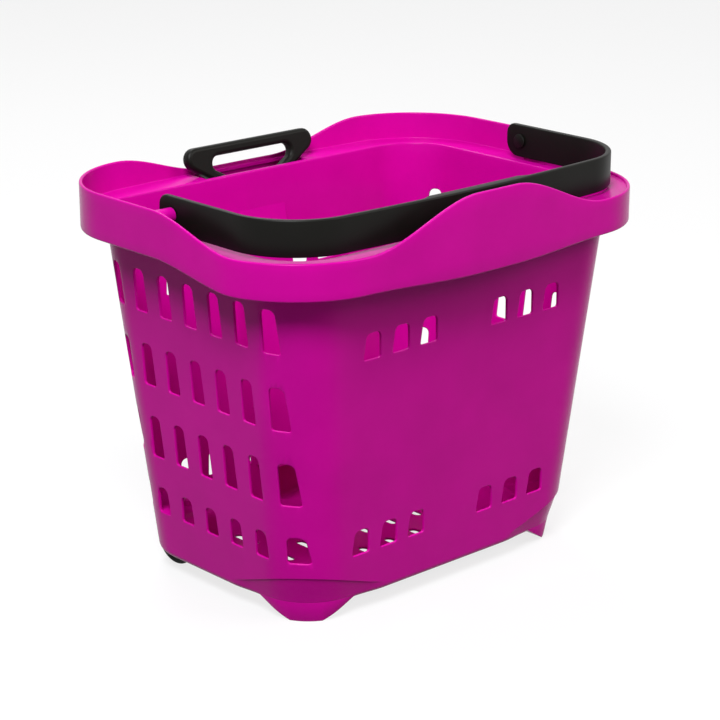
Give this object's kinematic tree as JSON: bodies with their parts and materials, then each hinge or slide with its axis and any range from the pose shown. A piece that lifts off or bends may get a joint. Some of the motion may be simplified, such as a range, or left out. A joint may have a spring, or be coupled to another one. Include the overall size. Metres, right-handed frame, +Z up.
{
  "type": "rolling shopping basket",
  "caption": "Deep slotted plastic basket with a wavy rim, a swinging carry handle, a telescopic pull handle and wheels at the back.",
  "frame": {"origin": "bottom centre of the basket, on the floor", "axes": "+Z up, X along the long side, -Y to the front, +Y to the back with the pull handle and the wheels"},
  "size_m": [0.52, 0.384, 0.42],
  "materials": {
    "tub_plastic": "glossy moulded polypropylene, magenta",
    "handle_plastic": "satin moulded plastic, black",
    "hub_plastic": "matt moulded plastic, dark grey",
    "tyre_rubber": "matt black rubber",
    "rod_metal": "drawn aluminium bar",
    "steel": "zinc plated steel"
  },
  "bodies": {
    "basket": {"basket_body": "tub_plastic", "pivot_pin_left": "handle_plastic", "pivot_pin_right": "handle_plastic", "channel_cover": "handle_plastic", "top_guide": "handle_plastic", "cover_screws": "steel", "axle_left": "steel", "axle_right": "steel", "axle_clip_left": "steel", "axle_clip_right": "steel", "wheel_bracket_left": "handle_plastic", "wheel_bracket_right": "handle_plastic", "bracket_screws": "steel"},
    "carry": {"carry_handle": "handle_plastic"},
    "lower_stage": {"lower_rod": "handle_plastic", "lower_rod_foot": "handle_plastic", "rod_collar": "handle_plastic"},
    "upper_stage": {"upper_rod": "rod_metal", "upper_rod_foot": "handle_plastic", "pull_grip": "handle_plastic", "grip_pins": "steel"},
    "left_wheel": {"wheel_hub_left": "hub_plastic", "tyre_left": "tyre_rubber"},
    "right_wheel": {"wheel_hub_right": "hub_plastic", "tyre_right": "tyre_rubber"}
  },
  "joints": [
    {"name": "carry_swing", "type": "hinge", "parent": "basket", "child": "carry", "pos_m": [0, 0, 0.3995], "axis": [-1, 0, 0], "range_deg": [0, 100]},
    {"name": "lower_slide", "type": "slide", "parent": "basket", "child": "lower_stage", "axis": [0, 0.2079, 0.9781], "range_m": [0, 0.22]},
    {"name": "upper_slide", "type": "slide", "parent": "lower_stage", "child": "upper_stage", "axis": [0, 0.2079, 0.9781], "range_m": [0, 0.222]},
    {"name": "left_wheel_spin", "type": "hinge", "parent": "basket", "child": "left_wheel", "pos_m": [-0.164, 0.094, 0.029], "axis": [1, 0, 0], "continuous": true},
    {"name": "right_wheel_spin", "type": "hinge", "parent": "basket", "child": "right_wheel", "pos_m": [0.164, 0.094, 0.029], "axis": [1, 0, 0], "continuous": true}
  ]
}
